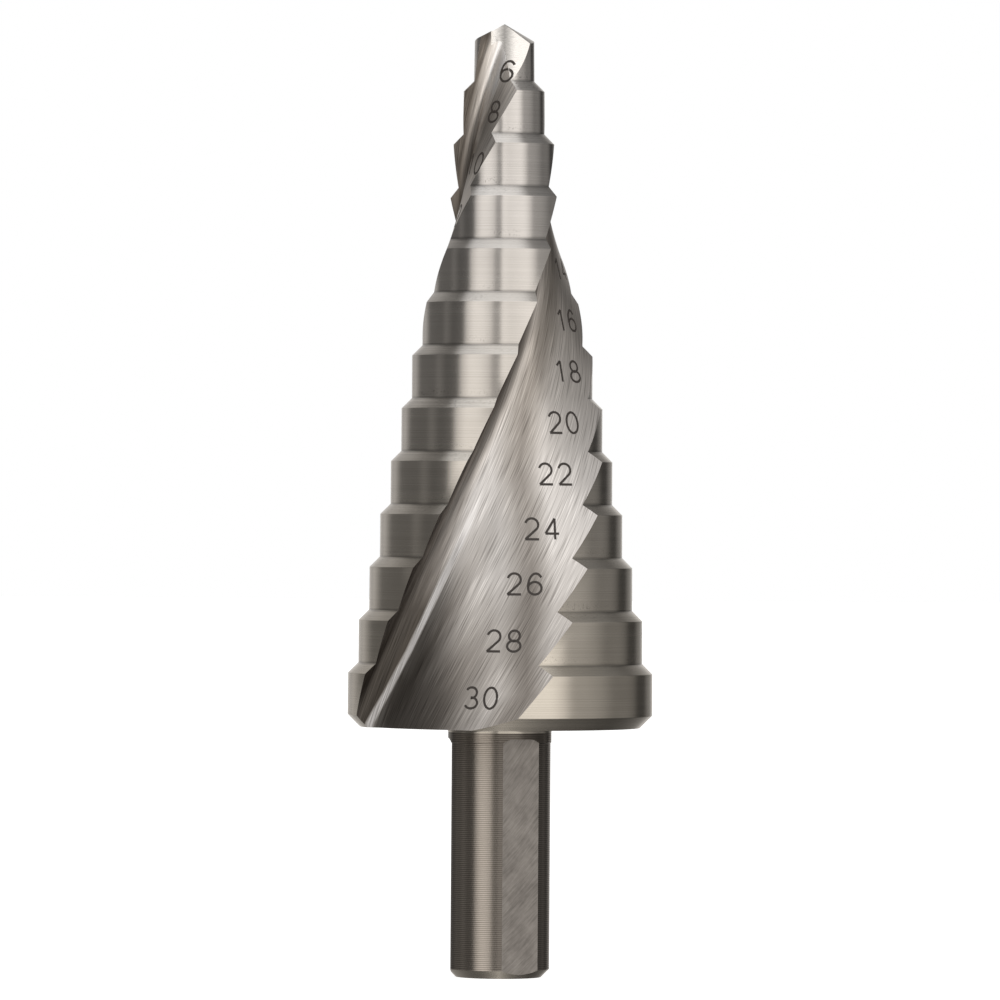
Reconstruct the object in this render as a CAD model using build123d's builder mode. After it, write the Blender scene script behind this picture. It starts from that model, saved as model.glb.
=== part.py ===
from build123d import *
import os
from math import asinh, atan2, ceil, cos, degrees, radians, sin, sqrt, tan

# A step drill for sheet metal, ground from one bar of high-speed steel.
# It stands on its shank end: the origin is the centre of that end, and +Z is
# the drill's axis, towards the point. Lengths are in millimetres, angles in degrees.

# Driving dimensions of the steps
smallest_diameter = 6.0
diameter_step = 2.0
step_count = 13
land_height = 4.19
shoulder_angle = 45.0
widest_land_height = 4.08
rim_bevel = 1.2

# Driving dimensions of the pilot and its point
pilot_height = 4.36
point_angle = 134.0
clearance_angle = 12.0
gash_turn_angle = 39.0
gash_lean_angle = 24.5
gash_corner_angle = 90.0
gash_width = 2.6

# Driving dimensions of the shank
shank_diameter = 10.0
shank_length = 24.5
end_bevel = 0.8
shank_blend = 0.5
collar_diameter = 10.16
collar_height = 1.55
flat_end_gap = 1.1
flat_count = 3
flat_depth = 0.4
flat_corner_radius = 1.3
flat_first_angle = -63.0

# Driving dimensions of the flutes
flute_count = 2
helix_angle = 26.7
helix_slowing_radius = 4.7
edge_angle_at_rim = -151.2
rake_angle = 11.5
face_depth_at_point = 2.0
face_depth_at_rim = 2.75
root_reach_at_point = 1.1
root_reach_at_rim = 2.4
opening_angle_at_point = 108.0
opening_angle_at_rim = 80.5
heel_slope_angle_at_point = 70.0
heel_slope_angle_at_rim = 24.0
section_spacing = 3.8
cutter_overrun = 1.5

# Sizes that follow from them
smallest_radius = smallest_diameter / 2
rise = diameter_step / 2
largest_radius = smallest_radius + rise * (step_count - 1)
shoulder_height = rise / tan(radians(shoulder_angle))
step_pitch = land_height + shoulder_height
widest_land_top = shank_length + rim_bevel + widest_land_height
pilot_bottom = widest_land_top + step_pitch * (step_count - 2) + shoulder_height
pilot_top = pilot_bottom + pilot_height
total_length = pilot_top + smallest_radius / tan(radians(point_angle / 2))
shank_radius = shank_diameter / 2
collar_radius = collar_diameter / 2
flat_length = shank_length - flat_end_gap


def polar(radius, angle):
    return Vector(radius * cos(radians(angle)), radius * sin(radians(angle)))


def cone_radius(height):
    """Radius of the cone that runs through the top corner of every step."""
    return largest_radius - (height - widest_land_top) * rise / step_pitch


def edge_angle(height):
    """Angle of the first cutting edge about the axis. It climbs at the helix angle where the
    drill is wide, and slower towards the point, where that slope would wind it too tight."""
    wound = asinh(largest_radius / helix_slowing_radius) - asinh(cone_radius(height) / helix_slowing_radius)
    return edge_angle_at_rim + degrees(tan(radians(helix_angle)) * step_pitch / rise * wound)


def growing(at_point, at_rim, radius):
    """A length that grows evenly with the cone's radius, from the pilot to the rim."""
    share = (radius - smallest_radius) / (largest_radius - smallest_radius)
    return at_point + (at_rim - at_point) * share


def settling(at_point, at_rim, radius):
    """An angle that is at_point on the pilot and settles to at_rim as the radius grows."""
    return at_rim + (at_point - at_rim) * (smallest_radius / radius) ** 2


# The blank as it comes off the lathe: shank, collar, bevelled rim, steps and pilot
outline = [
    (0, 0),
    (shank_radius - end_bevel, 0),
    (shank_radius, end_bevel),
    (shank_radius, shank_length - collar_height),
    (collar_radius, shank_length - collar_height),
    (collar_radius, shank_length),
    (largest_radius - rim_bevel, shank_length),
    (largest_radius, shank_length + rim_bevel),
    (largest_radius, widest_land_top),
]
for step in range(1, step_count - 1):
    shoulder_top = widest_land_top + step_pitch * (step - 1) + shoulder_height
    outline.append((largest_radius - rise * step, shoulder_top))
    outline.append((largest_radius - rise * step, shoulder_top + land_height))
outline += [(smallest_radius, pilot_bottom), (smallest_radius, total_length), (0, total_length)]

with BuildPart() as blank:
    with BuildSketch(Plane.XZ) as profile:
        with BuildLine():
            Polyline(*outline, close=True)
        make_face()
        inner_corner = profile.vertices().sort_by_distance((collar_radius, shank_length))[0]
        fillet(inner_corner, shank_blend)
    revolve(axis=Axis.Z)

# One flute: a lofted cutter whose outline turns with the cutting edge and grows with the cone
lowest_section = shank_length - cutter_overrun
highest_section = total_length + cutter_overrun
section_count = ceil((highest_section - lowest_section) / section_spacing) + 1

with BuildPart() as flute:
    for number in range(section_count):
        height = lowest_section + (highest_section - lowest_section) * number / (section_count - 1)
        radius = cone_radius(height)
        opening = settling(opening_angle_at_point, opening_angle_at_rim, radius)
        heel_slope = settling(heel_slope_angle_at_point, heel_slope_angle_at_rim, radius)
        face_depth = growing(face_depth_at_point, face_depth_at_rim, radius)
        root_reach = growing(root_reach_at_point, root_reach_at_rim, radius)

        # the cutting edge lies on the section's X axis
        edge = polar(radius, 0)
        inward = polar(1, 180 + rake_angle)
        foot = edge + inward * face_depth
        heel = polar(radius, opening)
        chord = heel - foot
        chord_angle = degrees(atan2(chord.Y, chord.X))
        heel_direction = opening + 90 - heel_slope
        floor_end = polar(1, heel_direction)
        floor_start = polar(1, 2 * chord_angle - heel_direction)
        face_end = foot - inward * root_reach
        root_end = foot + floor_start * root_reach
        crown = (heel - root_end).length / 3
        way_out = cutter_overrun / sin(radians(heel_slope))
        beyond_edge = edge - inward * cutter_overrun
        beyond_heel = heel + floor_end * way_out
        beyond = polar(radius + cutter_overrun, opening / 2)

        turned = polar(1, edge_angle(height))
        with BuildSketch(Plane(origin=(0, 0, height), x_dir=turned, z_dir=(0, 0, 1))):
            with BuildLine():
                Line(beyond_edge, face_end)
                TangentArc(face_end, root_end, tangent=inward)
                Bezier(root_end, root_end + floor_start * crown, heel - floor_end * crown, beyond_heel)
                ThreePointArc(beyond_heel, beyond, beyond_edge)
            make_face()
    loft()

# The finished drill
with BuildPart() as step_drill:
    add(blank.part)
    with PolarLocations(0, flute_count):
        add(flute.part, mode=Mode.SUBTRACT)

    # each flank of the point is a cone that leans back from its lip
    for lip in range(flute_count):
        lip_angle = edge_angle(pilot_top) + 360 / flute_count * lip
        behind = polar(sin(radians(clearance_angle)), lip_angle - 90)
        lean = behind + Vector(0, 0, cos(radians(clearance_angle)))
        with Locations(Plane(origin=(0, 0, total_length), x_dir=polar(1, lip_angle), z_dir=lean)):
            Cone(
                2 * total_length * tan(radians(point_angle / 2)),
                0,
                2 * total_length,
                align=(Align.CENTER, Align.CENTER, Align.MAX),
                mode=Mode.INTERSECT,
            )

    # a flat ground across each heel of the pilot thins the web at the point: it starts at the
    # pilot's foot and reaches across the web, up to the foot of the cutting face
    for lip in range(flute_count):
        turn = 360 / flute_count * lip
        across = polar(cos(radians(gash_lean_angle)), edge_angle(pilot_top) + gash_turn_angle + turn)
        facing = across + Vector(0, 0, sin(radians(gash_lean_angle)))
        sideways = Vector(0, 0, 1).cross(across).normalized()
        corner = polar(smallest_radius, edge_angle(pilot_bottom) + gash_corner_angle + turn)
        start = corner + Vector(0, 0, pilot_bottom) - sideways * gash_width
        with Locations(Plane(origin=start, x_dir=sideways, z_dir=facing)):
            Box(
                gash_width + smallest_radius,
                2 * pilot_height,
                smallest_diameter,
                align=Align.MIN,
                mode=Mode.SUBTRACT,
            )

    # flats for the chuck's jaws, milled up from the end with a round-cornered cutter
    flat_width = 2 * sqrt(shank_radius**2 - (shank_radius - flat_depth) ** 2) + 2 * flat_depth
    for number in range(flat_count):
        facing = polar(1, flat_first_angle + 360 / flat_count * number)
        seat = facing * (shank_radius - flat_depth)
        with BuildSketch(Plane(origin=seat, x_dir=Vector(0, 0, 1).cross(facing), z_dir=facing)):
            RectangleRounded(flat_width, 2 * flat_length, flat_corner_radius)
        extrude(amount=2 * flat_depth, mode=Mode.SUBTRACT)

step_drill.part.label = "step_drill"
os.makedirs("parts", exist_ok=True)
export_step(step_drill.part, "parts/step_drill.step")
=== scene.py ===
# %% [markdown]
# # A step drill, ground from one bar of steel
#
# A step drill opens holes in sheet metal: each of its thirteen steps is one size of hole. The real
# tool is one piece of high-speed steel. It is turned to a stepped cone, two spiral flutes are ground
# through the steps, the lands are relieved behind their cutting edges, three flats are milled for the
# jaws of the chuck, and the hole sizes are marked in the flutes. This lesson makes that one piece as a
# dense mesh worked out with numpy, and gives every kind of machining its own steel.
#
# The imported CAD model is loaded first. It says where everything is, and the mesh here stands for it.

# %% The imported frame
import bpy
import bmesh
import numpy as np
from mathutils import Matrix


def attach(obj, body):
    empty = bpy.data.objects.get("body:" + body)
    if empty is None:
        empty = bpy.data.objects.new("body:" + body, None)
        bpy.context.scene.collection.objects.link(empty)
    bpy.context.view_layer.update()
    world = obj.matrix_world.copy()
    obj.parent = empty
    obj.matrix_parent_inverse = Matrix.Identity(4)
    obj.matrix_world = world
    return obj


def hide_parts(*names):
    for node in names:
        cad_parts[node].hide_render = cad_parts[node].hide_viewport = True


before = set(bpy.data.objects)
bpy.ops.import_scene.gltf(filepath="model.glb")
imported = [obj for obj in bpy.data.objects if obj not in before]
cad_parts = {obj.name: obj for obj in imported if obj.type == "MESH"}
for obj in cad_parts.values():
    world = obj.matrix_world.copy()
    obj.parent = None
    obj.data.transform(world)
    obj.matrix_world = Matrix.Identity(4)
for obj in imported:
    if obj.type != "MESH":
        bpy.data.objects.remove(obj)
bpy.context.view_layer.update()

# %% [markdown]
# The shape follows from a few sizes in millimetres, the same ones that a toolmaker's drawing gives.
# Angles are in degrees, counted about the drill's axis from +X towards +Y, and the viewer of the
# photograph looks along +Y. Everything is worked out in millimetres and written in metres at the end.

# %% Sizes of the drill
MM = 0.001
STEPS = 13
SMALLEST_RADIUS = 3.0
RISE = 1.0
LARGEST_RADIUS = SMALLEST_RADIUS + RISE * (STEPS - 1)
LAND_HEIGHT = 4.19
STEP_PITCH = LAND_HEIGHT + RISE
RIM_BOTTOM = 24.5
RIM_BEVEL = 1.2
WIDEST_TOP = 29.78
PILOT_BOTTOM = WIDEST_TOP + STEP_PITCH * (STEPS - 2) + RISE
PILOT_TOP = PILOT_BOTTOM + 4.36
POINT_ANGLE = 134.0
TOTAL_LENGTH = PILOT_TOP + SMALLEST_RADIUS / np.tan(np.radians(POINT_ANGLE / 2))
CLEARANCE_ANGLE = 12.0
RELIEF = 0.14
print(f"from the rim at {RIM_BOTTOM} mm to the point at {TOTAL_LENGTH:.2f} mm")

# %% [markdown]
# ## The spiral
#
# The cutting edges climb a cone that touches the top corner of every step. A flute of one constant
# lead would wind too tight near the point, so the real one slows down there. An inverse hyperbolic sine
# of the radius gives that slowing in one formula.

# %% The cone and the turning of the edge
HELIX_ANGLE = 26.7
SLOWING_RADIUS = 4.7
EDGE_AT_RIM = -151.2


def cone_radius(height):
    """Largest radius, less one rise for each step pitch above the top of the widest step."""
    return LARGEST_RADIUS - (height - WIDEST_TOP) * RISE / STEP_PITCH


def edge_angle(height):
    """Angle of the first cutting edge: the tangent of the helix times the difference of two asinh."""
    wound = np.arcsinh(LARGEST_RADIUS / SLOWING_RADIUS) - np.arcsinh(cone_radius(height) / SLOWING_RADIUS)
    return EDGE_AT_RIM + np.degrees(np.tan(np.radians(HELIX_ANGLE)) * STEP_PITCH / RISE * wound)


def unit(angle):
    """Cosine and sine of an angle in degrees, side by side."""
    return np.stack([np.cos(np.radians(angle)), np.sin(np.radians(angle))], axis=-1)


def turned(points, angle):
    """Flat points turned about the axis: x cos - y sin, and x sin + y cos."""
    x, y = points[..., 0], points[..., 1]
    cosine, sine = np.moveaxis(unit(angle), -1, 0)
    return np.stack([x * cosine - y * sine, x * sine + y * cosine], axis=-1)


def length(points):
    """Distance of flat points from the axis."""
    return np.hypot(points[..., 0], points[..., 1])


def azimuth(points):
    """Angle of flat points about the axis in degrees, from -90 to 270, so that no flute is cut in two."""
    angle = np.degrees(np.arctan2(points[..., 1], points[..., 0]))
    return np.where(angle < -90, angle + 360, angle)


print("the edge turns", round(float(edge_angle(PILOT_TOP) - edge_angle(RIM_BOTTOM))), "degrees in all")

# %% [markdown]
# ## One flute, cut across
#
# Cut across, a flute is a straight cutting face, a round root and a gently crowned floor that runs out
# at the heel. One parameter t runs along that outline: 0 to 1 on the face, 1 to 2 round the root, 2 to 3
# over the floor, which is a cubic Bezier curve. Heights come in as a column, so that one call works out
# the outline at every height of the drill.

# %% The outline of a flute
RAKE = 11.5
FACE_DEPTH = (2.0, 2.75)
ROOT_REACH = (1.1, 2.4)
OPENING = (108.0, 80.5)
HEEL_SLOPE = (70.0, 24.0)
OVERRUN = 1.5


def growing(sizes, radius):
    """A size that grows evenly with the radius, from the pilot's to the rim's."""
    share = (radius - SMALLEST_RADIUS) / (LARGEST_RADIUS - SMALLEST_RADIUS)
    return sizes[0] + (sizes[1] - sizes[0]) * share


def settling(sizes, radius):
    """An angle that settles from the pilot's value to the rim's with the square of the radius."""
    return sizes[1] + (sizes[0] - sizes[1]) * (SMALLEST_RADIUS / radius) ** 2


def flute_outline(heights):
    """The fixed points of the outline at each height, in axes that turn with the cutting edge."""
    radius = cone_radius(np.asarray(heights, float))[:, None]
    opening, slope = settling(OPENING, radius), settling(HEEL_SLOPE, radius)
    inward = unit(np.full_like(radius, 180 + RAKE))
    edge = radius[..., None] * unit(np.zeros_like(radius))
    foot = edge + inward * growing(FACE_DEPTH, radius)[..., None]
    heel = radius[..., None] * unit(opening)
    chord = heel - foot
    chord_angle = np.degrees(np.arctan2(chord[..., 1], chord[..., 0]))
    end_way = opening + 90 - slope
    start_way = 2 * chord_angle - end_way
    floor_start, floor_end = unit(start_way), unit(end_way)
    reach = growing(ROOT_REACH, radius)[..., None]
    root_end = foot + floor_start * reach
    crown = length(heel - root_end)[..., None] / 3
    way_out = OVERRUN / np.sin(np.radians(slope))[..., None]
    return {
        "face": (edge - inward * OVERRUN, foot - inward * reach),
        "turn": (180 + RAKE) - start_way,
        "reach": reach[..., 0],
        "floor": (
            root_end, root_end + floor_start * crown, heel - floor_end * crown, heel + floor_end * way_out,
        ),
    }


def on_outline(outline, t):
    """Points of the outline. The root is a circle that touches face and floor: its radius is the reach
    over the tangent of half the turn, and its centre lies square to the face."""
    s = np.clip(t, 0, 1)[..., None]
    start, end = outline["face"]
    face = start + (end - start) * s
    s = np.clip(t - 1, 0, 1)
    radius = (outline["reach"] / np.tan(np.radians(outline["turn"] / 2)))[..., None]
    centre = end + radius * unit(np.full_like(s, 90 + RAKE))
    root = centre - radius * unit(90 + RAKE - outline["turn"] * s)
    s = np.clip(t - 2, 0, 1)[..., None]
    a, b, c, d = outline["floor"]
    floor = (1 - s) ** 3 * a + 3 * (1 - s) ** 2 * s * b + 3 * (1 - s) * s**2 * c + s**3 * d
    t = t[..., None]
    return np.where(t < 1, face, np.where(t < 2, root, floor))


def halve(miss, low, high, rounds=44):
    """Where miss passes through zero between low and high, by halving the gap for all rows at once."""
    sign = np.sign(miss(low))
    for _ in range(rounds):
        middle = (low + high) / 2
        same = np.sign(miss(middle)) == sign
        low, high = np.where(same, middle, low), np.where(same, high, middle)
    return (low + high) / 2


# %% [markdown]
# ## One ring of the drill
#
# A ring round the drill is land, flute, land, flute. The land is an arc that drops a little behind its
# cutting edge, which is the relief that lets the edge bite. The flute's outline is cut off where it
# meets the land at both ends. Edge and heel get columns of their own, so that the zigzag of the
# steps is sharp, and the columns crowd where the root is round.

# %% Rings of land and flute
LAND_COLUMNS = 27
FACE_COLUMNS, ROOT_COLUMNS, FLOOR_COLUMNS = 12, 6, 30
FLUTE_COLUMNS = FACE_COLUMNS + ROOT_COLUMNS + FLOOR_COLUMNS
HALF = LAND_COLUMNS + FLUTE_COLUMNS
COLUMNS = 2 * HALF
MIDDLE_OF_ROOT = 1.5


def ring_ends(outline, radii):
    """The parameters where the outline crosses the land at the cutting edge and at the heel."""
    def past_land(t):
        return length(on_outline(outline, t)) - radii

    start = halve(past_land, np.zeros_like(radii), np.full_like(radii, 2.0))
    edge = np.degrees(np.arctan2(*np.moveaxis(on_outline(outline, start), -1, 0)[::-1]))

    def past_heel(t):
        point = on_outline(outline, t)
        behind = np.radians(edge + 180 - azimuth(point))
        return length(point) - (radii - RELIEF * np.sin(behind))

    end = halve(past_heel, np.full_like(radii, 2.0), np.full_like(radii, 3.0))
    return start, end, edge


def stretch(a, b, count):
    """Evenly spaced values from each a towards its b, without b, as columns."""
    share = np.arange(count) / count
    return a + (b - a) * share


def rings(heights, radii):
    """Points of the rings, and for the flute's columns the way across from the root's middle in mm. The
    land's columns keep the heel's value, so that the last strip of the floor isn't squeezed."""
    outline = flute_outline(heights)
    radii = np.asarray(radii, float)[:, None]
    start, end, edge = ring_ends(outline, radii)
    mid = np.full_like(start, MIDDLE_OF_ROOT)
    t = np.hstack([
        stretch(start, mid, FACE_COLUMNS),
        stretch(mid, np.full_like(start, 2.0), ROOT_COLUMNS),
        stretch(np.full_like(start, 2.0), end, FLOOR_COLUMNS),
    ])
    flute = on_outline(outline, t)
    heel = azimuth(on_outline(outline, end))
    angle = stretch(heel - 180, edge, LAND_COLUMNS)
    land = (radii - RELIEF * np.sin(np.radians(edge - angle)))[..., None] * unit(angle)
    half = np.concatenate([land, flute], axis=1)
    ring = np.concatenate([half, -half], axis=1)
    along = np.cumsum(length(np.diff(flute, axis=1, prepend=flute[:, :1])), axis=1)
    along -= along[:, FACE_COLUMNS:FACE_COLUMNS + 1]
    at_heel = 2 * along[:, -1:] - along[:, -2:-1]
    across = np.hstack([np.repeat(at_heel, LAND_COLUMNS, axis=1), along] * 2)
    ring = turned(ring, edge_angle(np.asarray(heights, float))[:, None])
    return ring[..., 0], ring[..., 1], across


# %% [markdown]
# ## The stepped profile
#
# The lathe leaves a profile of straight runs. A truly sharp corner never catches the light, so each
# corner is rounded by a few hundredths of a millimetre, in three short facets, with a row close by on
# each side to keep the flat runs flat in the shading.

# %% The profile of the steps
EDGE_ROUNDING = 0.05
ROW_SPACING = 0.45
HOLD = 0.07
ABOVE_POINT = 1.5

corners = [
    (LARGEST_RADIUS - RIM_BEVEL, RIM_BOTTOM), (LARGEST_RADIUS, RIM_BOTTOM + RIM_BEVEL),
    (LARGEST_RADIUS, WIDEST_TOP),
]
for step in range(1, STEPS):
    step_radius, foot = LARGEST_RADIUS - RISE * step, WIDEST_TOP + STEP_PITCH * step - LAND_HEIGHT
    corners += [(step_radius, foot), (step_radius, foot + LAND_HEIGHT)]
corners[-1] = (SMALLEST_RADIUS, TOTAL_LENGTH + ABOVE_POINT)


def rounded(corners, radius, facets=3):
    """A polyline with each inner corner replaced by an arc: back off along both runs by the radius
    times the tangent of half the turn, then step round in equal turns."""
    points = [np.array(corners[0], float)]
    for before, corner, after in zip(corners, corners[1:], corners[2:]):
        before, corner, after = (np.array(p, float) for p in (before, corner, after))
        into = (corner - before) / np.linalg.norm(corner - before)
        out = (after - corner) / np.linalg.norm(after - corner)
        turn = np.arctan2(into[0] * out[1] - into[1] * out[0], into @ out)
        back = radius * np.tan(abs(turn) / 2)
        chord = 2 * radius * np.sin(abs(turn) / facets / 2)
        point = corner - into * back
        points += [point - into * HOLD, point]
        heading = np.arctan2(into[1], into[0])
        for facet in range(facets):
            bearing = heading + turn * (facet + 0.5) / facets
            point = point + chord * np.array([np.cos(bearing), np.sin(bearing)])
            points.append(point)
        points.append(point + out * HOLD)
    points.append(np.array(corners[-1], float))
    return np.array(points)


def divided(points, spacing):
    """The same polyline with every long run cut into equal parts no longer than the spacing."""
    rows = [points[:1]]
    for a, b in zip(points, points[1:]):
        parts = max(1, int(np.ceil(np.linalg.norm(b - a) / spacing)))
        rows.append(a + (b - a) * (np.arange(1, parts + 1) / parts)[:, None])
    return np.concatenate(rows)


profile = divided(rounded(corners, EDGE_ROUNDING), ROW_SPACING)
body_x, body_y, body_across = rings(profile[:, 1], profile[:, 0])
body_z = np.repeat(profile[:, 1:], COLUMNS, axis=1)
print(len(profile), "rows of", COLUMNS, "columns from the rim to the point")

# %% [markdown]
# ## The shank
#
# The shank is a bar with three flats for the chuck. A milling cutter left a round corner at the top
# of each flat, and the flats run out in the bevel at the bottom. The rows here keep the number of
# columns of the steps, so that both parts join in one skin: each third of the ring is a flat, its two
# edges and the round land to the next flat.

# %% Rings of the shank
SHANK_RADIUS = 5.0
COLLAR_RADIUS = 5.08
COLLAR_BOTTOM = RIM_BOTTOM - 1.55
END_BEVEL = 0.8
BLEND = 0.5
FLATS = 3
FLAT_DISTANCE = SHANK_RADIUS - 0.4
FLAT_TOP = RIM_BOTTOM - 1.1
FLAT_CORNER = 1.3
FLAT_HALF_WIDTH = np.sqrt(SHANK_RADIUS**2 - FLAT_DISTANCE**2) + 0.4
FIRST_FLAT = -63.0
FLAT_COLUMNS = 20
THIRD = COLUMNS // FLATS
EDGE_GAP = 0.02
LEAST_FLAT = 0.25


def flat_half_width(heights, radii):
    """Half the width of a flat: the cutter's round corner or the bar's own chord, whichever is less."""
    above = np.clip(heights - (FLAT_TOP - FLAT_CORNER), 0, FLAT_CORNER)
    pocket = FLAT_HALF_WIDTH - FLAT_CORNER + np.sqrt(FLAT_CORNER**2 - above**2)
    chord = np.sqrt(np.clip(radii**2 - FLAT_DISTANCE**2, 0, None))
    return np.clip(np.minimum(pocket, chord), LEAST_FLAT, None)


def shank_rings(heights, radii, milled):
    """One ring per row. On a flat the points lie on its plane where the bar reaches past it, and on the
    bar where it doesn't. Between two flats they are spread evenly round the bar."""
    heights, radii = heights[:, None], radii[:, None]
    half = flat_half_width(heights, radii)
    side = half * np.linspace(-1, 1, FLAT_COLUMNS + 1)
    outer = np.sqrt(radii**2 - side**2)
    depth = np.where(milled[:, None], np.minimum(outer, FLAT_DISTANCE), outer)
    flat_angle = np.degrees(np.arctan2(side, depth))
    flat_radius = np.hypot(side, depth)
    brink = np.degrees(np.arcsin((half + EDGE_GAP) / radii))
    land_columns = THIRD - FLAT_COLUMNS - 1
    land_angle = brink + (360 / FLATS - 2 * brink) * np.arange(land_columns) / (land_columns - 1)
    angle = np.hstack([flat_angle, land_angle])
    radius = np.hstack([flat_radius, radii + 0 * land_angle])
    angle = np.hstack([angle + FIRST_FLAT + 360 / FLATS * flat for flat in range(FLATS)])
    radius = np.tile(radius, FLATS)
    return angle, radius


shank_corners = [
    (SHANK_RADIUS - END_BEVEL, 0), (SHANK_RADIUS, END_BEVEL), (SHANK_RADIUS, COLLAR_BOTTOM),
    (COLLAR_RADIUS, COLLAR_BOTTOM + COLLAR_RADIUS - SHANK_RADIUS), (COLLAR_RADIUS, RIM_BOTTOM - BLEND),
]
# rows that follow the flats' round corners and their run-out in the bevel
corner_heights = FLAT_TOP - FLAT_CORNER + FLAT_CORNER * np.sin(np.radians(np.arange(0, 90, 9)))
print("flats", 2 * FLAT_DISTANCE, "mm from their far side, top at", FLAT_TOP, "mm")

# %% [markdown]
# Rows go where the form changes: along the bevel, round the flats' corners, just under and over their
# top edge, and through the small collar that the grinding wheel left under the rim.

# %% The shank's rows
BEVEL_ROWS = 9
SHANK_SPACING = 1.2
UNDER_TOP, OVER_TOP = FLAT_TOP - 0.005, FLAT_TOP + 0.015

bar = np.array(shank_corners, float)
shank_z = np.concatenate([
    bar[:, 1], np.linspace(0, END_BEVEL, BEVEL_ROWS),
    np.arange(2 * END_BEVEL, FLAT_TOP - FLAT_CORNER, SHANK_SPACING), corner_heights, [UNDER_TOP, OVER_TOP],
])
shank_z = np.unique(np.round(shank_z, 4))
shank_r = np.interp(shank_z, bar[:, 1], bar[:, 0])
blend_turn = np.radians(np.arange(15, 91, 15))
shank_z = np.append(shank_z, RIM_BOTTOM - BLEND + BLEND * np.sin(blend_turn))
shank_r = np.append(shank_r, COLLAR_RADIUS + BLEND - BLEND * np.cos(blend_turn))
shank_angle, shank_radius = shank_rings(shank_z, shank_r, shank_z < FLAT_TOP)

# the shank's columns start where they line up best with the rim's
rim_angle = np.degrees(np.arctan2(body_y[0], body_x[0]))
shifts = (np.arange(COLUMNS) + np.arange(COLUMNS)[:, None]) % COLUMNS
apart = (shank_angle[-1][shifts] - rim_angle + 180) % 360 - 180
roll = -int(np.argmin((apart**2).sum(axis=1)))
shank_angle, shank_radius = np.roll(shank_angle, roll, axis=1), np.roll(shank_radius, roll, axis=1)
shank_x = shank_radius * np.cos(np.radians(shank_angle))
shank_y = shank_radius * np.sin(np.radians(shank_angle))
print(len(shank_z), "rows up the shank")

# %% [markdown]
# The end face and the rim's underside are flat. Their rows are blends of the ring inside and the ring
# outside, so that the whole drill is one closed skin from the middle of the shank's end to the point.

# %% One grid for the whole drill
end_shares = np.array([0.3, 0.6, 0.85, 0.98])[:, None]
under_shares = np.array([0.03, 0.15, 0.3, 0.45, 0.6, 0.75, 0.9, 0.985])[:, None]


def all_rows(shank, body):
    """One coordinate of end face, shank, underside and steps. The underside is the shank's last ring plus
    a share of the way to the rim's first."""
    under = shank[-1] + (body[0] - shank[-1]) * under_shares
    return np.vstack([shank[0] * end_shares, shank, under, body])


grid_x, grid_y = all_rows(shank_x, body_x), all_rows(shank_y, body_y)
grid_z = np.vstack([
    np.zeros((len(end_shares), COLUMNS)), np.repeat(shank_z[:, None], COLUMNS, axis=1),
    np.full((len(under_shares), COLUMNS), RIM_BOTTOM), body_z,
])
first_shank_row = len(end_shares)
first_under_row = first_shank_row + len(shank_z)
first_body_row = first_under_row + len(under_shares)
across = np.vstack([np.zeros((first_body_row, COLUMNS)), body_across])
print("grid", grid_x.shape)

# %% [markdown]
# Every face is given its kind of machining: turned, flute, shank or milled flat. The rows and columns
# say which, because edge, heel and the flats' borders all lie on grid lines. The two steels of the
# point come later, with the wheels that grind it.

# %% Which steel each face has
TURNED, FLUTE, SHANK, MILLED, POINT, GASH = range(6)
face_rows, face_columns = np.meshgrid(np.arange(len(grid_x) - 1), np.arange(COLUMNS), indexing="ij")
finish = np.full(face_rows.shape, TURNED)
on_body = face_rows >= first_body_row
finish[on_body & (face_columns % HALF >= LAND_COLUMNS)] = FLUTE
face_height = grid_z[:-1]
bar_rows = (face_rows >= first_shank_row) & (face_height >= END_BEVEL) & (face_height < RIM_BOTTOM - BLEND)
finish[bar_rows & (face_rows < first_under_row)] = SHANK
bar_column = (face_columns - roll) % COLUMNS % THIRD
on_flat = (bar_column < FLAT_COLUMNS) & (face_rows >= first_shank_row) & (face_rows < first_under_row)
reached = np.interp(face_height, bar[:, 1], bar[:, 0]) >= FLAT_DISTANCE
finish[on_flat & reached & (face_height < FLAT_TOP - 0.01)] = MILLED
for kind, name in enumerate(["turned", "flute", "shank", "milled"]):
    print(name, "faces:", int((finish == kind).sum()))

# %% [markdown]
# ## From grid to mesh
#
# The grid goes into Blender as two meshes that share one row: the body, whose first row shrinks to one
# point, a pole, and the tip, which is closed at both ends so that it can be ground. A map goes with
# the skin: the way across and along the flutes in millimetres, for the grinding lines.

# %% The skin
SPLIT_HEIGHT = 86.0
split_row = int(np.argmax(grid_z[:, 0] > SPLIT_HEIGHT))
split_height = float(grid_z[split_row, 0])


def mesh_of(name, points, faces):
    """A new mesh from points in millimetres."""
    mesh = bpy.data.meshes.new(name)
    mesh.from_pydata(np.asarray(points) * MM, [], faces)
    mesh.update()
    return mesh


def placed(name, data):
    """A new object in the scene that carries a mesh or a camera."""
    made = bpy.data.objects.new(name, data)
    bpy.context.collection.objects.link(made)
    return made


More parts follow.
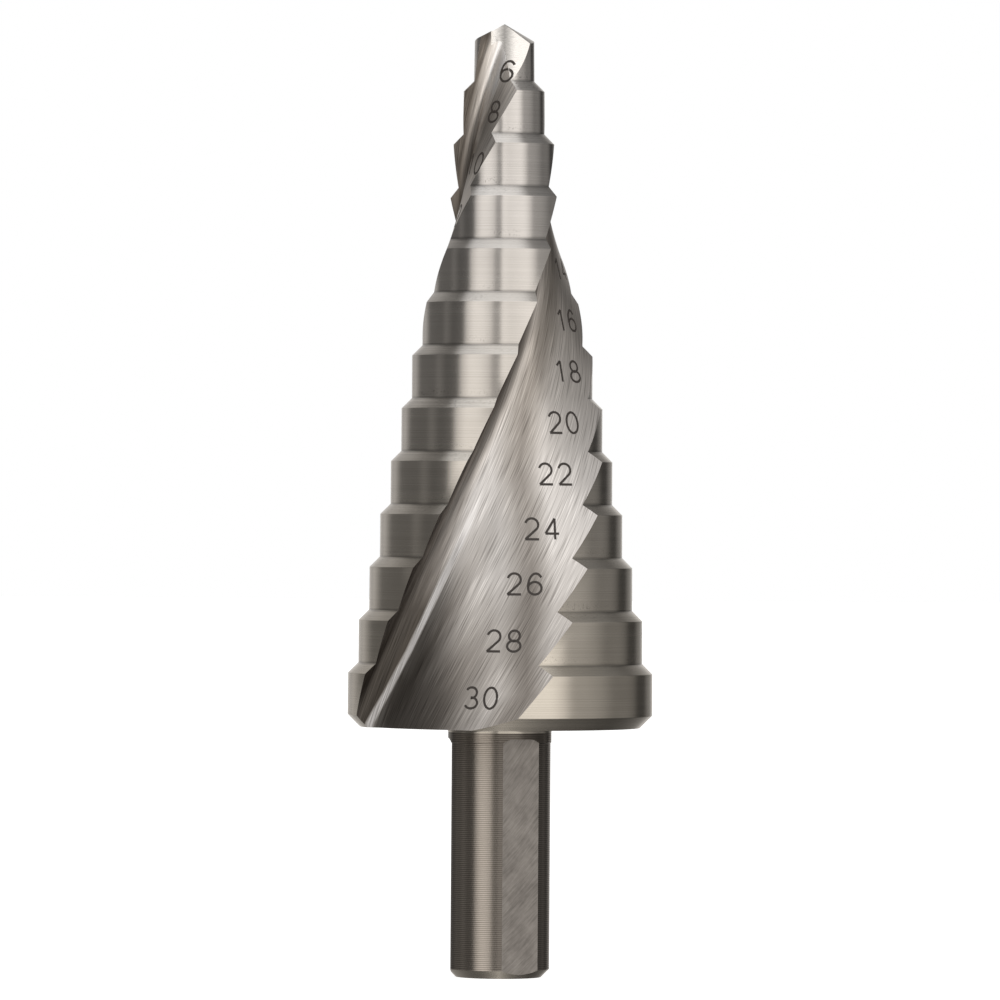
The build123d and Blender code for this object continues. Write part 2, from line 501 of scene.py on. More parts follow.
def skin(name, rows, ends):
    """Quads between some rows of the grid, and the faces that close it, with one number for the pole."""
    ring = np.stack([grid_x, grid_y, grid_z], axis=-1)[rows]
    index = np.arange(ring.shape[0] * COLUMNS).reshape(-1, COLUMNS)
    beside = np.roll(index, -1, axis=1)
    quads = np.stack([index[:-1], beside[:-1], beside[1:], index[1:]], axis=-1).reshape(-1, 4).tolist()
    closing = ends(index, beside)
    mesh = mesh_of(name, np.vstack([ring.reshape(-1, 3), [[0.0, 0.0, 0.0]]]), closing + quads)
    kinds = np.append(np.full(len(closing), TURNED), finish[rows][:len(ring) - 1])
    mesh.polygons.foreach_set("material_index", kinds.astype(np.int32))
    corner_vertex = np.empty(len(mesh.loops), np.int32)
    mesh.loops.foreach_get("vertex_index", corner_vertex)
    flow = np.stack([across[rows].reshape(-1), grid_z[rows].reshape(-1)], axis=-1)
    flow = np.vstack([flow, [[0.0, 0.0]]])[corner_vertex]
    mesh.uv_layers.new(name="flute_mm").data.foreach_set("uv", flow.astype(np.float32).reshape(-1))
    return mesh


def fan(index, beside):
    """Triangles from the pole, the last point, to the first row."""
    return [(index.size, b, a) for a, b in zip(index[0].tolist(), beside[0].tolist())]


def caps(index, beside):
    """One face below the first row, and one on the last."""
    return [index[0][::-1].tolist(), index[-1].tolist()]


body_mesh = skin("body", slice(0, split_row + 1), fan)
tip = placed("tip", skin("tip", slice(split_row, None), caps))
print(len(body_mesh.polygons), "faces of the body,", len(tip.data.polygons), "of the tip before grinding")

# %% [markdown]
# ## Grinding the point
#
# Each flank of the point is a cone that leans back from its lip, so that the steel behind the lip
# clears the hole's floor. Where the two cones meet they leave the chisel edge. A flat ground across
# each heel thins the web. These are true cuts, so they are made with Boolean modifiers, which give the
# crisp creases that a grid can't follow.

# %% The grinding wheels of the point
GASH_TURN = 39.0
GASH_LEAN = 24.5
GASH_CORNER = 90.0
GASH_WIDTH = 2.6
GASH_TALL = 8.0
CONE_TALL = 1.3 * TOTAL_LENGTH
CONE_FACET = 1.5


def flank_cone(lip):
    """A cone with its tip at the drill's own: half the point angle wide, leaning by the clearance angle
    away from the side that the lip cuts towards."""
    angle = edge_angle(PILOT_TOP) + 180 * lip
    behind = np.append(unit(angle - 90) * np.sin(np.radians(CLEARANCE_ANGLE)), 0)
    axis = behind + [0, 0, np.cos(np.radians(CLEARANCE_ANGLE))]
    sideways = np.append(unit(angle), 0)
    forward = np.cross(axis, sideways)
    tip = np.array([0, 0, TOTAL_LENGTH])
    circle = unit(np.arange(0, 360, CONE_FACET)) * CONE_TALL * np.tan(np.radians(POINT_ANGLE / 2))
    base = tip - axis * CONE_TALL + circle[:, :1] * sideways + circle[:, 1:] * forward
    n = len(base)
    sides = [(0, 1 + i, 1 + (i + 1) % n) for i in range(n)]
    name = f"flank_{lip}"
    return placed(name, mesh_of(name, np.vstack([tip, base]), sides + [tuple(range(n, 0, -1))]))


def gash_flat(turn):
    """Lowest corner of the ground flat, the direction that it faces, and its sideways direction. It starts
    at the pilot's foot and reaches across the web, from beyond the heel to the foot of the cutting face."""
    lean = np.radians(GASH_LEAN)
    level = np.append(unit(edge_angle(PILOT_TOP) + GASH_TURN + turn) * np.cos(lean), 0)
    facing = level + [0, 0, np.sin(lean)]
    sideways = np.cross([0, 0, 1], level)
    sideways /= np.linalg.norm(sideways)
    corner = np.append(unit(edge_angle(PILOT_BOTTOM) + GASH_CORNER + turn) * SMALLEST_RADIUS, PILOT_BOTTOM)
    return corner - sideways * GASH_WIDTH, facing, sideways


def gash_block(lip):
    """The grinding wheel as a box that stands on the flat."""
    low, facing, sideways = gash_flat(180 * lip)
    upward = np.cross(facing, sideways)
    wide, tall, deep = GASH_WIDTH + SMALLEST_RADIUS, GASH_TALL, 2 * SMALLEST_RADIUS
    corners = [
        low + sideways * wide * i + upward * tall * j + facing * deep * k
        for k in (0, 1) for j in (0, 1) for i in (0, 1)
    ]
    faces = [(0, 2, 3, 1), (4, 5, 7, 6), (0, 1, 5, 4), (2, 6, 7, 3), (0, 4, 6, 2), (1, 3, 7, 5)]
    name = f"gash_{lip}"
    return placed(name, mesh_of(name, corners, faces))


def cut(piece, tool, operation):
    """Adds a Boolean modifier that keeps what both share, or takes the tool's shape away."""
    step = piece.modifiers.new(tool.name, "BOOLEAN")
    step.operation, step.solver, step.object = operation, "EXACT", tool
    step.material_mode = "TRANSFER"


# %% Set the wheels to the tip
wheels = []
for lip in (0, 1):
    for wheel, operation in ((flank_cone(lip), "INTERSECT"), (gash_block(lip), "DIFFERENCE")):
        cut(tip, wheel, operation)
        wheels.append(wheel)
print([wheel.name for wheel in wheels])

# %% [markdown]
# ## A small language for materials
#
# Shader maths is easier to read as ordinary expressions. The class below wraps one socket, and each
# operator adds a Math node. Any other node comes from one method, which sets the node up before
# its sockets are joined.

# %% Values and nodes
class Value:
    """A socket that can be used in sums: a + b, 1 - a, a * b, a / b and a ** b each add a Math node."""

    def __init__(self, maker, socket):
        self.maker, self.socket = maker, socket

    def __add__(self, other):
        return self.maker.math("ADD", self, other)

    def __radd__(self, other):
        return self.maker.math("ADD", other, self)

    def __sub__(self, other):
        return self.maker.math("SUBTRACT", self, other)

    def __rsub__(self, other):
        return self.maker.math("SUBTRACT", other, self)

    def __mul__(self, other):
        return self.maker.math("MULTIPLY", self, other)

    def __rmul__(self, other):
        return self.maker.math("MULTIPLY", other, self)

    def __truediv__(self, other):
        return self.maker.math("DIVIDE", self, other)

    def __pow__(self, other):
        return self.maker.math("POWER", self, other)


class Made:
    """A node that was made: its outputs are read by name or by number, as Values."""

    def __init__(self, maker, node):
        self.maker, self.node = maker, node

    def __getitem__(self, key):
        return Value(self.maker, self.node.outputs[key])


class Finish:
    """The nodes of one material, or of the world, built one by one."""

    def __init__(self, owner):
        owner.use_nodes = True
        self.owner, self.tree = owner, owner.node_tree
        self.tree.nodes.clear()

    def node(self, kind, settings=None, inputs=None):
        """Makes a node, sets its settings, then fills its inputs with numbers or links."""
        made = self.tree.nodes.new(kind)
        for key, setting in (settings or {}).items():
            setattr(made, key, setting)
        for key, value in (inputs or {}).items():
            if isinstance(value, Value):
                self.tree.links.new(value.socket, made.inputs[key])
            else:
                made.inputs[key].default_value = value
        return Made(self, made)

    def math(self, operation, first, second=0.0):
        """One Math node, for the operators above and for what has none."""
        return self.node("ShaderNodeMath", {"operation": operation}, {0: first, 1: second})[0]

    def ramp(self, value, stops):
        """A colour ramp: stops are pairs of a position and a grey or a colour."""
        made = self.node("ShaderNodeValToRGB", None, {"Fac": value})
        elements = made.node.color_ramp.elements
        while len(elements) < len(stops):
            elements.new(1.0)
        for element, (position, colour) in zip(elements, stops):
            element.position = position
            element.color = (*colour, 1.0) if isinstance(colour, tuple) else (colour, colour, colour, 1.0)
        return made["Color"]

    def follow(self, value, points):
        """A broken line through points of a value and its result, both in their own units."""
        first, last = points[0][0], points[-1][0]
        top = max(result for _, result in points)
        share = (value - first) * (1 / (last - first))
        stops = [((at - first) / (last - first), result / top) for at, result in points]
        return self.ramp(share, stops) * top

    def mixed(self, how, first, second, share=1.0):
        """Two colours put together, in full or by a share: how is the blend's name."""
        settings = {"data_type": "RGBA", "blend_type": how}
        return self.node("ShaderNodeMix", settings, {0: share, 6: first, 7: second})[2]

    def toned(self, colour, tone):
        """A colour times a value, which goes in as a grey."""
        return self.mixed("MULTIPLY", colour, self.vector(tone, tone, tone))

    def noise(self, vector, scale, detail=2.0, roughness=0.5):
        """A noise value from 0 to 1 over a vector."""
        inputs = {"Vector": vector, "Scale": scale, "Detail": detail, "Roughness": roughness}
        return self.node("ShaderNodeTexNoise", None, inputs)["Fac"]

    def vector(self, x, y, z):
        """Three values as one vector."""
        return self.node("ShaderNodeCombineXYZ", None, {"X": x, "Y": y, "Z": z})["Vector"]

    def parts(self, vector):
        """A vector's X, Y and Z."""
        return self.node("ShaderNodeSeparateXYZ", None, {"Vector": vector})

    def place(self):
        """Object coordinates, in metres."""
        return self.node("ShaderNodeTexCoord")["Object"]

    def bump(self, height, strength, microns):
        """The normal of a surface that a value from 0 to 1 raises by so many thousandths of a millimetre."""
        inputs = {"Strength": strength, "Distance": microns / 1e6, "Height": height}
        return self.node("ShaderNodeBump", None, inputs)["Normal"]

    def surface(self, inputs):
        """The finished material: one Principled shader with these inputs."""
        shader = self.node("ShaderNodeBsdfPrincipled", None, inputs)
        self.node("ShaderNodeOutputMaterial", None, {"Surface": shader["BSDF"]})
        return self.owner

    def steel(self, colour, roughness, grain, bump, grain_turn=0.25):
        """The metal itself, with highlights drawn out square to the tool marks. A quarter turn draws them
        out along the axis, for marks that run round the bar."""
        return self.surface({
            "Base Color": colour, "Metallic": 1.0, "Roughness": roughness, "Anisotropic": grain,
            "Anisotropic Rotation": grain_turn, "Normal": bump,
        })


def material(name):
    """A new material and its empty node tree."""
    return Finish(bpy.data.materials.new(name))


# %% [markdown]
# ## The turned steel of the steps
#
# A lathe leaves fine lines round the work. They are too fine to model: a few hundredths of a
# millimetre apart. A noise that changes only along the profile gives them to the bump and, more
# weakly, to the colour. The same lines stretch every reflection along the axis, which is what the
# shader's anisotropy does, and that turns the lights of the studio into long upright bands.

# %% Turned steel
def along_profile(finish):
    """Height plus a part of the distance from the axis, in mm, so that it changes on every turned face."""
    split = finish.parts(finish.place())
    x, y, z = split["X"], split["Y"], split["Z"]
    radius = (x * x + y * y) ** 0.5
    return (z + 0.37 * radius) / MM, split


def turned_steel():
    """Fine rings: one noise along the profile for the lines, a slower one for the passes of the tool. The
    foot of each step keeps a thin dark line, partly painted shade in the inner corner and partly residue,
    and pitted patches, and the wide steps are a little yellower."""
    f = material("turned_steel")
    along, split = along_profile(f)
    lines = f.noise(f.vector(0.0, 0.0, along), 9.0, 3.0, 0.7)
    passes = f.noise(f.vector(0.0, 0.0, along), 1.3, 1.0)
    cloud = f.noise(f.place(), 140.0, 2.0)
    tone = 0.5 * lines + 0.2 * passes + 0.3 * cloud
    bare = f.ramp(tone, [(0.33, (0.46, 0.44, 0.418)), (0.67, (0.70, 0.674, 0.648))])
    height = split["Z"] / MM
    over_foot = f.math("MAXIMUM", height, WIDEST_TOP) - (WIDEST_TOP + RISE)
    from_foot = f.math("PINGPONG", over_foot, STEP_PITCH / 2) + 0.3 * (cloud - 0.5)
    # the thin dark line at the foot of each land: painted shade in the inner corner, with some residue
    foot = f.follow(from_foot, [(0.0, 0.6), (0.1, 0.72), (0.22, 1.0), (1.0, 1.0)])
    pitted = f.ramp(f.noise(f.place(), 5200.0, 2.0, 0.7), [(0.56, 0.0), (0.66, 1.0)])
    near_foot = f.follow(from_foot, [(0.15, 0.0), (0.35, 1.0), (0.7, 0.8), (1.1, 0.0)])
    patch = f.ramp(cloud, [(0.45, 0.0), (0.62, 1.0)]) * near_foot
    foot = foot * (1.0 - 0.45 * pitted * patch)
    tint = f.ramp((height - 30.0) / 45.0, [(0.0, (1.0, 0.965, 0.88)), (1.0, (1.0, 1.0, 1.0))])
    colour = f.toned(f.mixed("MULTIPLY", bare, tint), foot)
    return f.steel(colour, 0.20 + 0.12 * passes, 0.85, f.bump(lines, 0.35, 4))


# %% [markdown]
# ## The ground steel of the flutes
#
# The wheel that ground the flutes ran along them, so its scratches follow the spiral. They use the
# flute's own map: noise that is short across the floor and very long along it.

# %% Ground flute steel
ACROSS_FLUTE = 153 / 360


def flute_tone(f, over, up):
    """Painted light of the flute over the way across and the height, and where it is grainy and stepped. Low
    down a painted highlight line follows the root between the cutting face, painted dark as shade, and soft
    painted shade on the floor, and higher up it melts into the floor. A soft band of painted shade wanders
    over the floor, which gets painted shade towards the rim and a painted highlight at the point."""
    # where the painted highlight line runs along the root, in mm across, at each height
    painted_highlight_line = f.follow(up, [(25, 0.1), (26, 0.3), (28, 0.8), (30, 1.15), (32, 1.5), (35, 1.75), (42, 2.0)])
    off_line = over - painted_highlight_line
    # low down: the cutting face painted dark as shade, the root's painted highlight line, then painted shade
    # beside it on the floor
    low = f.follow(off_line, [
        (-1.2, 0.17), (-0.9, 0.14), (-0.5, 0.14), (-0.2, 1.4), (0.3, 1.4), (0.6, 0.5), (2.4, 0.38),
        (4.5, 0.76), (5.0, 0.74),
    ])
    # higher up: the cutting face painted dark as shade, rising to the floor's painted light
    high = f.follow(over, [
        (-1.4, 0.3), (-0.9, 0.24), (-0.5, 0.44), (0.3, 0.46), (0.7, 0.6), (1.3, 1.02), (2.7, 0.98),
        (4.0, 0.9),
    ])
    higher = f.follow(up, [(36, 0.0), (48, 1.0)])
    # a soft band of painted shade across the floor, its middle moving with the height
    shade_band_middle = f.follow(up, [(28, 16.5), (32, 13.9), (38, 11.2), (42, 8.9), (46, 6.7), (50, 4.2), (56, 2.4)])
    painted_shade_band = f.follow(over - shade_band_middle, [(-2.4, 1.0), (-0.5, 0.54), (0.4, 0.46), (1.0, 0.56), (2.6, 1.0)])
    # painted shade on the floor towards the rim
    painted_shade_near_rim = f.follow(up, [(25, 0.62), (28, 0.6), (31, 0.5), (35, 0.2), (39, 0.0)])
    shade = painted_shade_near_rim * f.follow(over, [(2.0, 0.3), (4.0, 1.0), (9.0, 1.0), (14.0, 0.1)])
    # painted highlight on the root and floor near the point
    painted_highlight_near_point = f.follow(up, [(79, 0.0), (84, 0.7), (89, 1.4)])
    painted_highlight_across = f.follow(over, [(-1.6, 0.0), (-0.8, 0.1), (-0.1, 0.7), (0.4, 1.8), (1.6, 1.9), (2.4, 0.6)])
    # all the painted light put together: root highlight line, shade band, painted shade near the rim and
    # painted highlight near the point
    tone = (low + (high - low) * higher) * painted_shade_band * (1.0 - shade) * (1.0 + painted_highlight_near_point * painted_highlight_across)
    low_down = f.follow(up, [(37, 1.0), (44, 0.0)])
    grainy = f.follow(off_line, [(-0.5, 0.0), (-0.2, 1.0), (0.3, 1.0), (0.6, 0.0)]) * low_down
    step = f.follow(off_line, [(-0.25, 0.0), (0.35, 1.0)]) * low_down
    return tone, grainy, step


def flute_steel():
    """Scratches along the flute, from two noises that are stretched along the second axis of the map,
    multiplied by the flute's painted light and shade.
    """
    f = material("flute_steel")
    flow = f.parts(f.node("ShaderNodeUVMap", {"uv_map": "flute_mm"})["UV"])
    over, up = flow["X"], flow["Y"]
    fine = f.noise(f.vector(over * 9.0, up * 0.25, 0.0), 1.0, 1.0, 0.5)
    broad = f.noise(f.vector(over * 1.6, up * 0.1, 7.0), 1.0, 2.0)
    scratched = f.ramp(0.65 * fine + 0.05 * broad + 0.15, [
        (0.36, (0.40, 0.385, 0.375)), (0.45, (0.66, 0.645, 0.635)), (0.56, (0.76, 0.745, 0.735)),
        (0.64, (0.98, 0.965, 0.955)),
    ])
    tone, grainy, step = flute_tone(f, over, up)
    warm = f.ramp((up - 45.0) / 18.0, [(0.0, (1.0, 1.0, 1.0)), (1.0, (0.98, 0.945, 0.9))])
    # the flute's painted light and shade as a grey, a little warm where it is dark
    painted_light_colour = f.vector(tone, tone ** 1.05, tone ** 1.11)
    colour = f.mixed("MULTIPLY", f.mixed("MULTIPLY", scratched, warm), painted_light_colour)
    rough = 0.29 + 0.04 * broad + 0.4 * grainy
    return f.steel(colour, rough, 0.7, f.bump(0.6 * fine + 60.0 * step, 0.5, 5), ACROSS_FLUTE)


# %% [markdown]
# ## The shank, its flats and the ground point
#
# The shank keeps the regular grooves of a coarser feed, five to the millimetre. The flats carry the
# crossing arcs of the milling cutter. The point is ground smooth.

# %% Grooved shank, milled flats, ground point
GROOVE_PITCH = 0.19


def shank_steel():
    """A sine along the height for the feed of the lathe, with a little noise in each groove. The steel
    stays darker for a few degrees beside each flat."""
    f = material("shank_steel")
    along, split = along_profile(f)
    wave = f.math("SINE", along * (2 * np.pi / GROOVE_PITCH))
    lines = f.noise(f.vector(0.0, 0.0, along), 7.0, 2.0)
    tone = 0.5 + 0.3 * wave + 0.5 * (lines - 0.5)
    # the shank's steel is painted darker than the steps': painted shade under the rim
    bare = f.ramp(tone, [(0.2, (0.30, 0.27, 0.235)), (0.8, (0.57, 0.515, 0.46))])
    angle = f.math("ARCTAN2", split["Y"], split["X"]) - np.radians(FIRST_FLAT - 720)
    from_flat = f.math("PINGPONG", angle, np.pi / FLATS) * (180 / np.pi)
    dark = f.follow(from_flat, [(20.0, 0.38), (29.0, 0.4), (37.0, 0.9), (45.0, 0.95), (60.0, 0.95)])
    return f.steel(f.toned(bare, dark), 0.34, 0.95, f.bump(wave + 0.8 * lines, 0.6, 10))


def milled_steel():
    """The cutter's arcs, as noise over the distance from a far centre beside the flat, under soft clouds."""
    f = material("milled_steel")
    split = f.parts(f.place())
    x, y, z = (split[key] / MM for key in "XYZ")
    reach = ((z - 60.0) * (z - 60.0) + (x + y + 40.0) * (x + y + 40.0)) ** 0.5
    lines = f.noise(f.vector(x * 0.5, y * 0.5, reach * 4.0), 1.0, 4.0, 0.7)
    cloud = f.noise(f.vector(x, y, z), 0.45, 3.0, 0.6)
    tone = 0.55 * lines + 0.45 * cloud
    colour = f.ramp(tone, [(0.37, (0.205, 0.19, 0.175)), (0.63, (0.375, 0.35, 0.325))])
    return f.steel(colour, 0.38, 0.3, f.bump(lines, 0.25, 6))


def point_steel(name, tone):
    """Smooth ground steel with a faint grain across, darker near the web."""
    f = material(name)
    place = f.place()
    mapping = f.node("ShaderNodeMapping", None, {"Vector": place, "Scale": (3000, 3000, 12000)})
    grain = f.noise(mapping["Vector"], 1.0)
    dull, clear = (0.9 * tone, 0.88 * tone, 0.85 * tone), (tone, 0.98 * tone, 0.95 * tone)
    off_web = f.math("ABSOLUTE", f.parts(place)["X"]) / MM + 0.5 * (grain - 0.5)
    web = f.follow(off_web, [(0.0, 0.35), (0.3, 0.5), (1.0, 0.95), (1.3, 1.0), (3.0, 1.0)])
    colour = f.toned(f.ramp(grain, [(0.3, dull), (0.7, clear)]), web)
    return f.steel(colour, 0.24, 0.0, f.bump(grain, 0.1, 2))


def mark_black():
    """The dark oxide that the marking beam leaves: not a metal, and dull."""
    return material("mark_black").surface({"Base Color": (0.03, 0.024, 0.02, 1), "Roughness": 0.6})


steels = [
    turned_steel(), flute_steel(), shank_steel(), milled_steel(),
    # the gash's steel is the point's steel made lighter: a painted highlight on the ground flat
    point_steel("point_steel", 0.64), point_steel("gash_steel_painted_highlight", 0.96),
]
for steel in steels:
    body_mesh.materials.append(steel)
    tip.data.materials.append(steel)
for wheel in wheels:
    wheel.data.materials.append(steels[POINT if wheel.name.startswith("flank") else GASH])
print([steel.name for steel in steels])

# %% [markdown]
# The cuts are applied here, and the wheels are thrown away. The ground tip loses the face that closed
# it below and is welded to the body, row to row. An edge that turns by more than a fifth of a right
# angle stays crisp. Anything gentler, such as the small roundings, is shaded smooth.

# %% Apply the cuts and weld the tip to the body
SHARP = 18.0
WELD = 0.0005 * MM
ground_tip = bpy.data.meshes.new_from_object(tip.evaluated_get(bpy.context.evaluated_depsgraph_get()))
for spent in wheels + [tip]:
    bpy.data.objects.remove(spent)

whole = bmesh.new()
whole.from_mesh(ground_tip)
closing = [
    face for face in whole.faces
    if face.normal.z < -0.99 and face.calc_center_median().z < split_height * MM + WELD
]
bmesh.ops.delete(whole, geom=closing, context="FACES")
whole.from_mesh(body_mesh)
bmesh.ops.remove_doubles(whole, verts=whole.verts, dist=WELD)
bmesh.ops.dissolve_degenerate(whole, edges=whole.edges, dist=WELD)
open_edges = sum(1 for edge in whole.edges if not edge.is_manifold)
volume = whole.calc_volume(signed=True) / MM**3
print(f"{len(whole.faces)} faces, {open_edges} open edges, {volume:.0f} cubic mm")
drill_mesh = bpy.data.meshes.new("dressed_drill")
whole.to_mesh(drill_mesh)
whole.free()
for steel in steels:
    drill_mesh.materials.append(steel)
drill_mesh.polygons.foreach_set("use_smooth", np.ones(len(drill_mesh.polygons), bool))
drill_mesh.set_sharp_from_angle(angle=np.radians(SHARP))
drill = placed("dressed_drill", drill_mesh)
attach(drill, "root")
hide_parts("step_drill")

# %% [markdown]
# ## The hole sizes
#
# Each step's hole size is marked in both flutes, beside the step and a little way in from the heel. A
# digit is a few strokes, each a run of points in units of its height. The marking beam is level and
# square to the floor, so a number is laid out on a plane that faces the beam, and every point of it
# slides along the beam to the floor. On the twisted floor that gives the marks their lean. Where the
# gash has been ground away from under a mark, the mark slides on to the ground flat.

# %% Strokes of the digits
MARK_HEIGHT = 2.25
MARK_STROKE = 0.23
DIGIT_PITCH = 2.0


def arc(x, y, wide, tall, start, end):
    """Points on an ellipse about (x, y), from one angle to another."""
    return np.array([x, y]) + np.array([wide, tall]) * unit(np.linspace(start, end, 25))


def line(start, end):
    """A straight run, in short parts so that it can follow the floor."""
    return np.linspace(start, end, 9)


STROKES = {
    "0": [arc(0, 0, 0.29, 0.45, 0, 360)],
    "1": [line((-0.17, 0.25), (0.05, 0.45)), line((0.05, 0.45), (0.05, -0.45))],
    "2": [
        np.vstack([arc(0, 0.18, 0.28, 0.27, 165, -40), line((0.2, -0.01), (-0.29, -0.45))]),
        line((-0.3, -0.45), (0.3, -0.45)),
    ],
    "3": [arc(-0.01, 0.22, 0.25, 0.23, 150, -95), arc(0, -0.215, 0.29, 0.235, 95, -155)],
    "4": [
        line((0.12, -0.45), (0.12, 0.45)), line((0.12, 0.45), (-0.3, -0.2)), line((-0.3, -0.2), (0.3, -0.2)),
    ],
    "6": [arc(0, -0.18, 0.29, 0.27, 0, 360), arc(0.04, -0.12, 0.33, 0.57, 182, 45)],
    "8": [arc(0, 0.22, 0.235, 0.23, 0, 360), arc(0, -0.215, 0.29, 0.235, 0, 360)],
}


def number_strokes(number):
    """The strokes of a number in mm, its digits side by side about the middle."""
    digits = str(number)
    places = (np.arange(len(digits)) - (len(digits) - 1) / 2) * DIGIT_PITCH
    return [
        stroke * MARK_HEIGHT + [place, 0]
        for place, digit in zip(places, digits) for stroke in STROKES[digit]
    ]


def borders(stroke):
    """Both sides of a stroke: half its width to the right and to the left of its direction."""
    way = np.gradient(stroke, axis=0)
    side = turned(way / length(way)[:, None], np.full(len(way), 90.0)) * MARK_STROKE / 2
    return stroke - side, stroke + side


# %% [markdown]
# The distance of each mark from the heel, and its height above the foot of its step, were measured in
# the photograph at several radii, and the marks between them follow evenly. Half the marks face away
# from the camera and follow the same rule.

# %% Where each mark lies
MARK_RADII = (3, 4, 8, 11, 13, 15)
FROM_HEEL = (0.95, 1.4, 3.5, 4.65, 5.15, 5.5)
ABOVE_FOOT = (0.9, 2.08, 2.5, 3.0, 2.7, 2.05)
MARK_TOP, MARK_BOTTOM = 0.012, -0.03


def mark_place(radius, turn):
    """Height of a mark, the direction of its beam, and how far its middle lies to the beam's right."""
    foot = WIDEST_TOP + STEP_PITCH * (LARGEST_RADIUS - radius) - LAND_HEIGHT
    height = foot + np.interp(radius, MARK_RADII, ABOVE_FOOT)
    outline = flute_outline([height])
    end = ring_ends(outline, np.array([[float(radius)]]))[1]
    floor = on_outline(outline, np.linspace(end[0, 0], 2.0, 400)[None, :])[0]
    part = np.diff(floor, axis=0)
    spot = int(np.searchsorted(np.cumsum(length(part)), np.interp(radius, MARK_RADII, FROM_HEEL)))
    around = edge_angle(height) + turn
    right = turned(-part[spot] / length(part[spot]), around)
    return height, right, float(right @ turned(floor[spot], around))


def on_floor(height, right, sideways, places, turn, lift):
    """Points of the beam's plane moved along the beam to the floor: the outline's parameter is halved
    down to the one whose distance to the right is the wanted one. What then stands over the gash moves
    on by its height over the flat, divided by the beam's slope to it."""
    heights = height + places[:, 1]
    outline = flute_outline(heights)
    around = edge_angle(heights)[:, None] + turn

    def miss(t):
        return turned(on_outline(outline, t), around) @ right - (sideways + places[:, :1])

    t = halve(miss, np.full((len(places), 1), 1.5), np.full((len(places), 1), 3.0))
    beam = np.array([right[1], -right[0], 0.0])
    spots = np.column_stack([turned(on_outline(outline, t), around)[:, 0], heights])
    low, facing, sidelong = gash_flat(turn)
    over_flat = np.where((spots - low) @ sidelong > 0, np.clip((spots - low) @ facing, 0, None), 0)
    return spots + beam * (lift - over_flat / (beam @ facing))[:, None]


def marks(turn):
    """Every number of one flute as thin closed strips: four corners at each station of a stroke."""
    for step in range(STEPS):
        radius = LARGEST_RADIUS - RISE * step
        height, right, sideways = mark_place(radius, turn)
        for stroke in number_strokes(round(2 * radius)):
            off, near = borders(stroke)
            section = (off, MARK_TOP), (near, MARK_TOP), (near, MARK_BOTTOM), (off, MARK_BOTTOM)
            yield np.stack([
                on_floor(height, right, sideways, places, turn, lift) for places, lift in section
            ], axis=1)


# %% The marks as one mesh
mark_points, mark_faces, used = [], [], 0
for strip in (*marks(0.0), *marks(180.0)):
    index = used + np.arange(strip.shape[0] * 4).reshape(-1, 4)
    beside = np.roll(index, -1, axis=1)
    mark_faces += np.stack([index[:-1], index[1:], beside[1:], beside[:-1]], axis=-1).reshape(-1, 4).tolist()
    mark_faces += [index[0].tolist(), index[-1][::-1].tolist()]
    mark_points.append(strip.reshape(-1, 3))
    used += index.size
size_marks = placed("size_marks", mesh_of("size_marks", np.vstack(mark_points), mark_faces))
size_marks.data.materials.append(mark_black())
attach(size_marks, "root")
print(len(mark_faces), "faces of marks")

# %% [markdown]
# ## The studio
#
# Bright steel shows its surroundings and little else, so the studio is drawn as bands of light round
# the drill. The reflection seen at a normal of so many degrees from the viewer comes from twice that
# angle, which gives the place of each band: a tall lamp on the left, a narrow dark gap beside the
# camera, a wide lamp on the right, dark walls at the sides and a white wall behind.

# %% Bands of light
# degrees from the camera's side of the drill towards +X, and the brightness there
BANDS = [
    (-180, 0.9), (-168, 0.62), (-158, 0.42), (-148, 0.54), (-138, 0.34), (-130, 0.17), (-98, 0.16),
    (-90, 0.25), (-78, 0.13), (-60, 0.17), (-55, 0.92), (-44, 1.34), (-30, 1.27), (-18, 0.98), (-14, 0.5),
    (-6, 0.45), (-3, 1.42), (9, 1.2), (40, 1.4), (50, 1.05), (57, 0.54), (72, 0.5), (84, 0.4),
    (96, 0.24), (113, 0.26), (122, 0.2), (129, 0.07), (141, 0.06), (150, 0.22), (160, 0.3), (170, 0.7),
    (180, 0.9),
]
WARM = (1.0, 0.965, 0.93)
# a share that keeps every band of the ramp below 1, and the light that makes up for it
BAND_SHARE = 0.7
STUDIO_LIGHT = 1.43


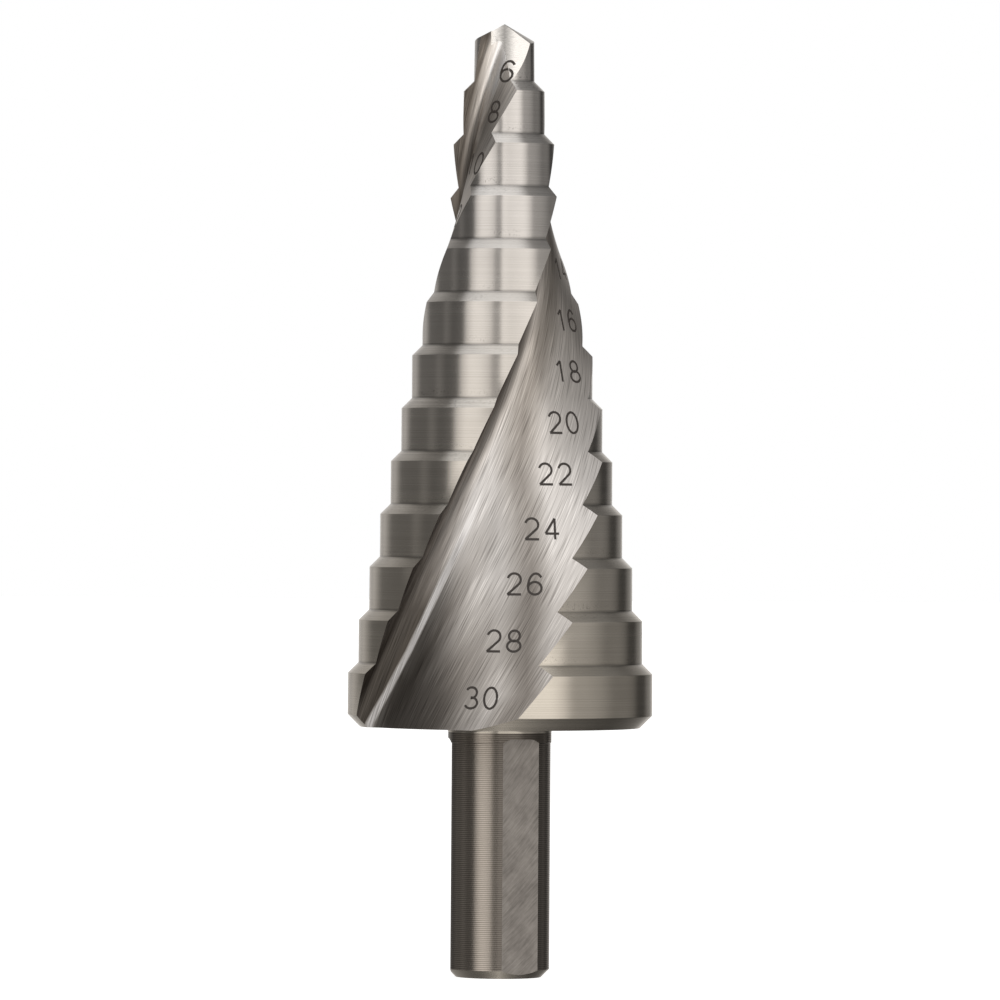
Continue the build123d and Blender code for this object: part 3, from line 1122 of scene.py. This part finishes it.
def studio():
    """A world whose light depends on the direction: a ramp over the azimuth that dims below the level,
    and soft lamps overhead and at the upper right. Seen directly, it is plain white."""
    f = Finish(bpy.data.worlds.new("studio"))
    bpy.context.scene.world = f.owner
    way = f.parts(f.node("ShaderNodeTexCoord")["Generated"])
    place = f.math("ARCTAN2", way["X"], way["Y"] * -1.0) * (0.5 / np.pi) + 0.5
    bands = f.ramp(place, [
        ((angle + 180) / 360, tuple(BAND_SHARE * light * part for part in WARM)) for angle, light in BANDS
    ])
    below = f.ramp(way["Z"] * 0.5 + 0.5, [(0.15, 0.6), (0.34, 0.65), (0.43, 1.0)])
    overhead = f.ramp(way["Z"] - 0.1 * way["X"], [(0.87, 0.0), (0.93, 0.8)])
    beside = f.ramp(0.8 * way["Z"] + 0.6 * way["X"], [(0.72, 0.0), (0.85, 0.1)])
    light = f.mixed("SCREEN", f.mixed("MULTIPLY", bands, below), f.mixed("SCREEN", overhead, beside))
    seen = f.node("ShaderNodeLightPath")["Is Camera Ray"]
    colour = f.mixed("MIX", light, (1, 1, 1, 1), seen)
    strength = STUDIO_LIGHT - (STUDIO_LIGHT - 1.0) * seen
    shader = f.node("ShaderNodeBackground", None, {"Color": colour, "Strength": strength})
    f.node("ShaderNodeOutputWorld", None, {"Surface": shader["Background"]})


studio()
bpy.context.scene.view_settings.view_transform = "Standard"
print(len(BANDS), "points on the ramp of light")

# %% [markdown]
# ## Floor and camera
#
# The floor is a plain pale sheet that glows a little, as paper on a light table does, so that it meets
# the white wall without a line. Glossy rays pass it by, and the steel keeps its dark bands.

# %% The floor
FLOOR_RADIUS = 3000.0
FLOOR_GAP = 0.02


def floor_sheet():
    """A round sheet just under the shank's end."""
    rim = np.column_stack([unit(np.arange(0, 360, 5)) * FLOOR_RADIUS, np.full(72, -FLOOR_GAP)])
    made = placed("floor", mesh_of("floor", rim, [tuple(range(72))]))
    made.data.materials.append(material("pale_floor").surface({
        "Base Color": (0.4, 0.4, 0.4, 1), "Roughness": 0.9, "Emission Color": (1, 1, 1, 1),
        "Emission Strength": 0.9,
    }))
    made.visible_glossy = False
    return made


floor = floor_sheet()

# %% The camera
PIXELS_PER_MM = 10.185
PHOTO_SIZE = 1000
DISTANCE = 800.0
FOOT_ROW = 976.5
AXIS_COLUMN = 501.4
LEAN = 0.396

lens = bpy.data.cameras.new("camera")
lens.sensor_width = 36.0
lens.lens = lens.sensor_width * DISTANCE * PIXELS_PER_MM / PHOTO_SIZE
lens.clip_start, lens.clip_end = 0.05, 20.0
camera = placed("camera", lens)
camera.location = np.array([
    (PHOTO_SIZE / 2 - AXIS_COLUMN) / PIXELS_PER_MM, -DISTANCE, (FOOT_ROW - PHOTO_SIZE / 2) / PIXELS_PER_MM
]) * MM
camera.rotation_euler = (np.radians(90), np.radians(-LEAN), 0)
bpy.context.scene.camera = camera
print(f"camera {DISTANCE:.0f} mm from the axis, with a lens of {lens.lens:.0f} mm")
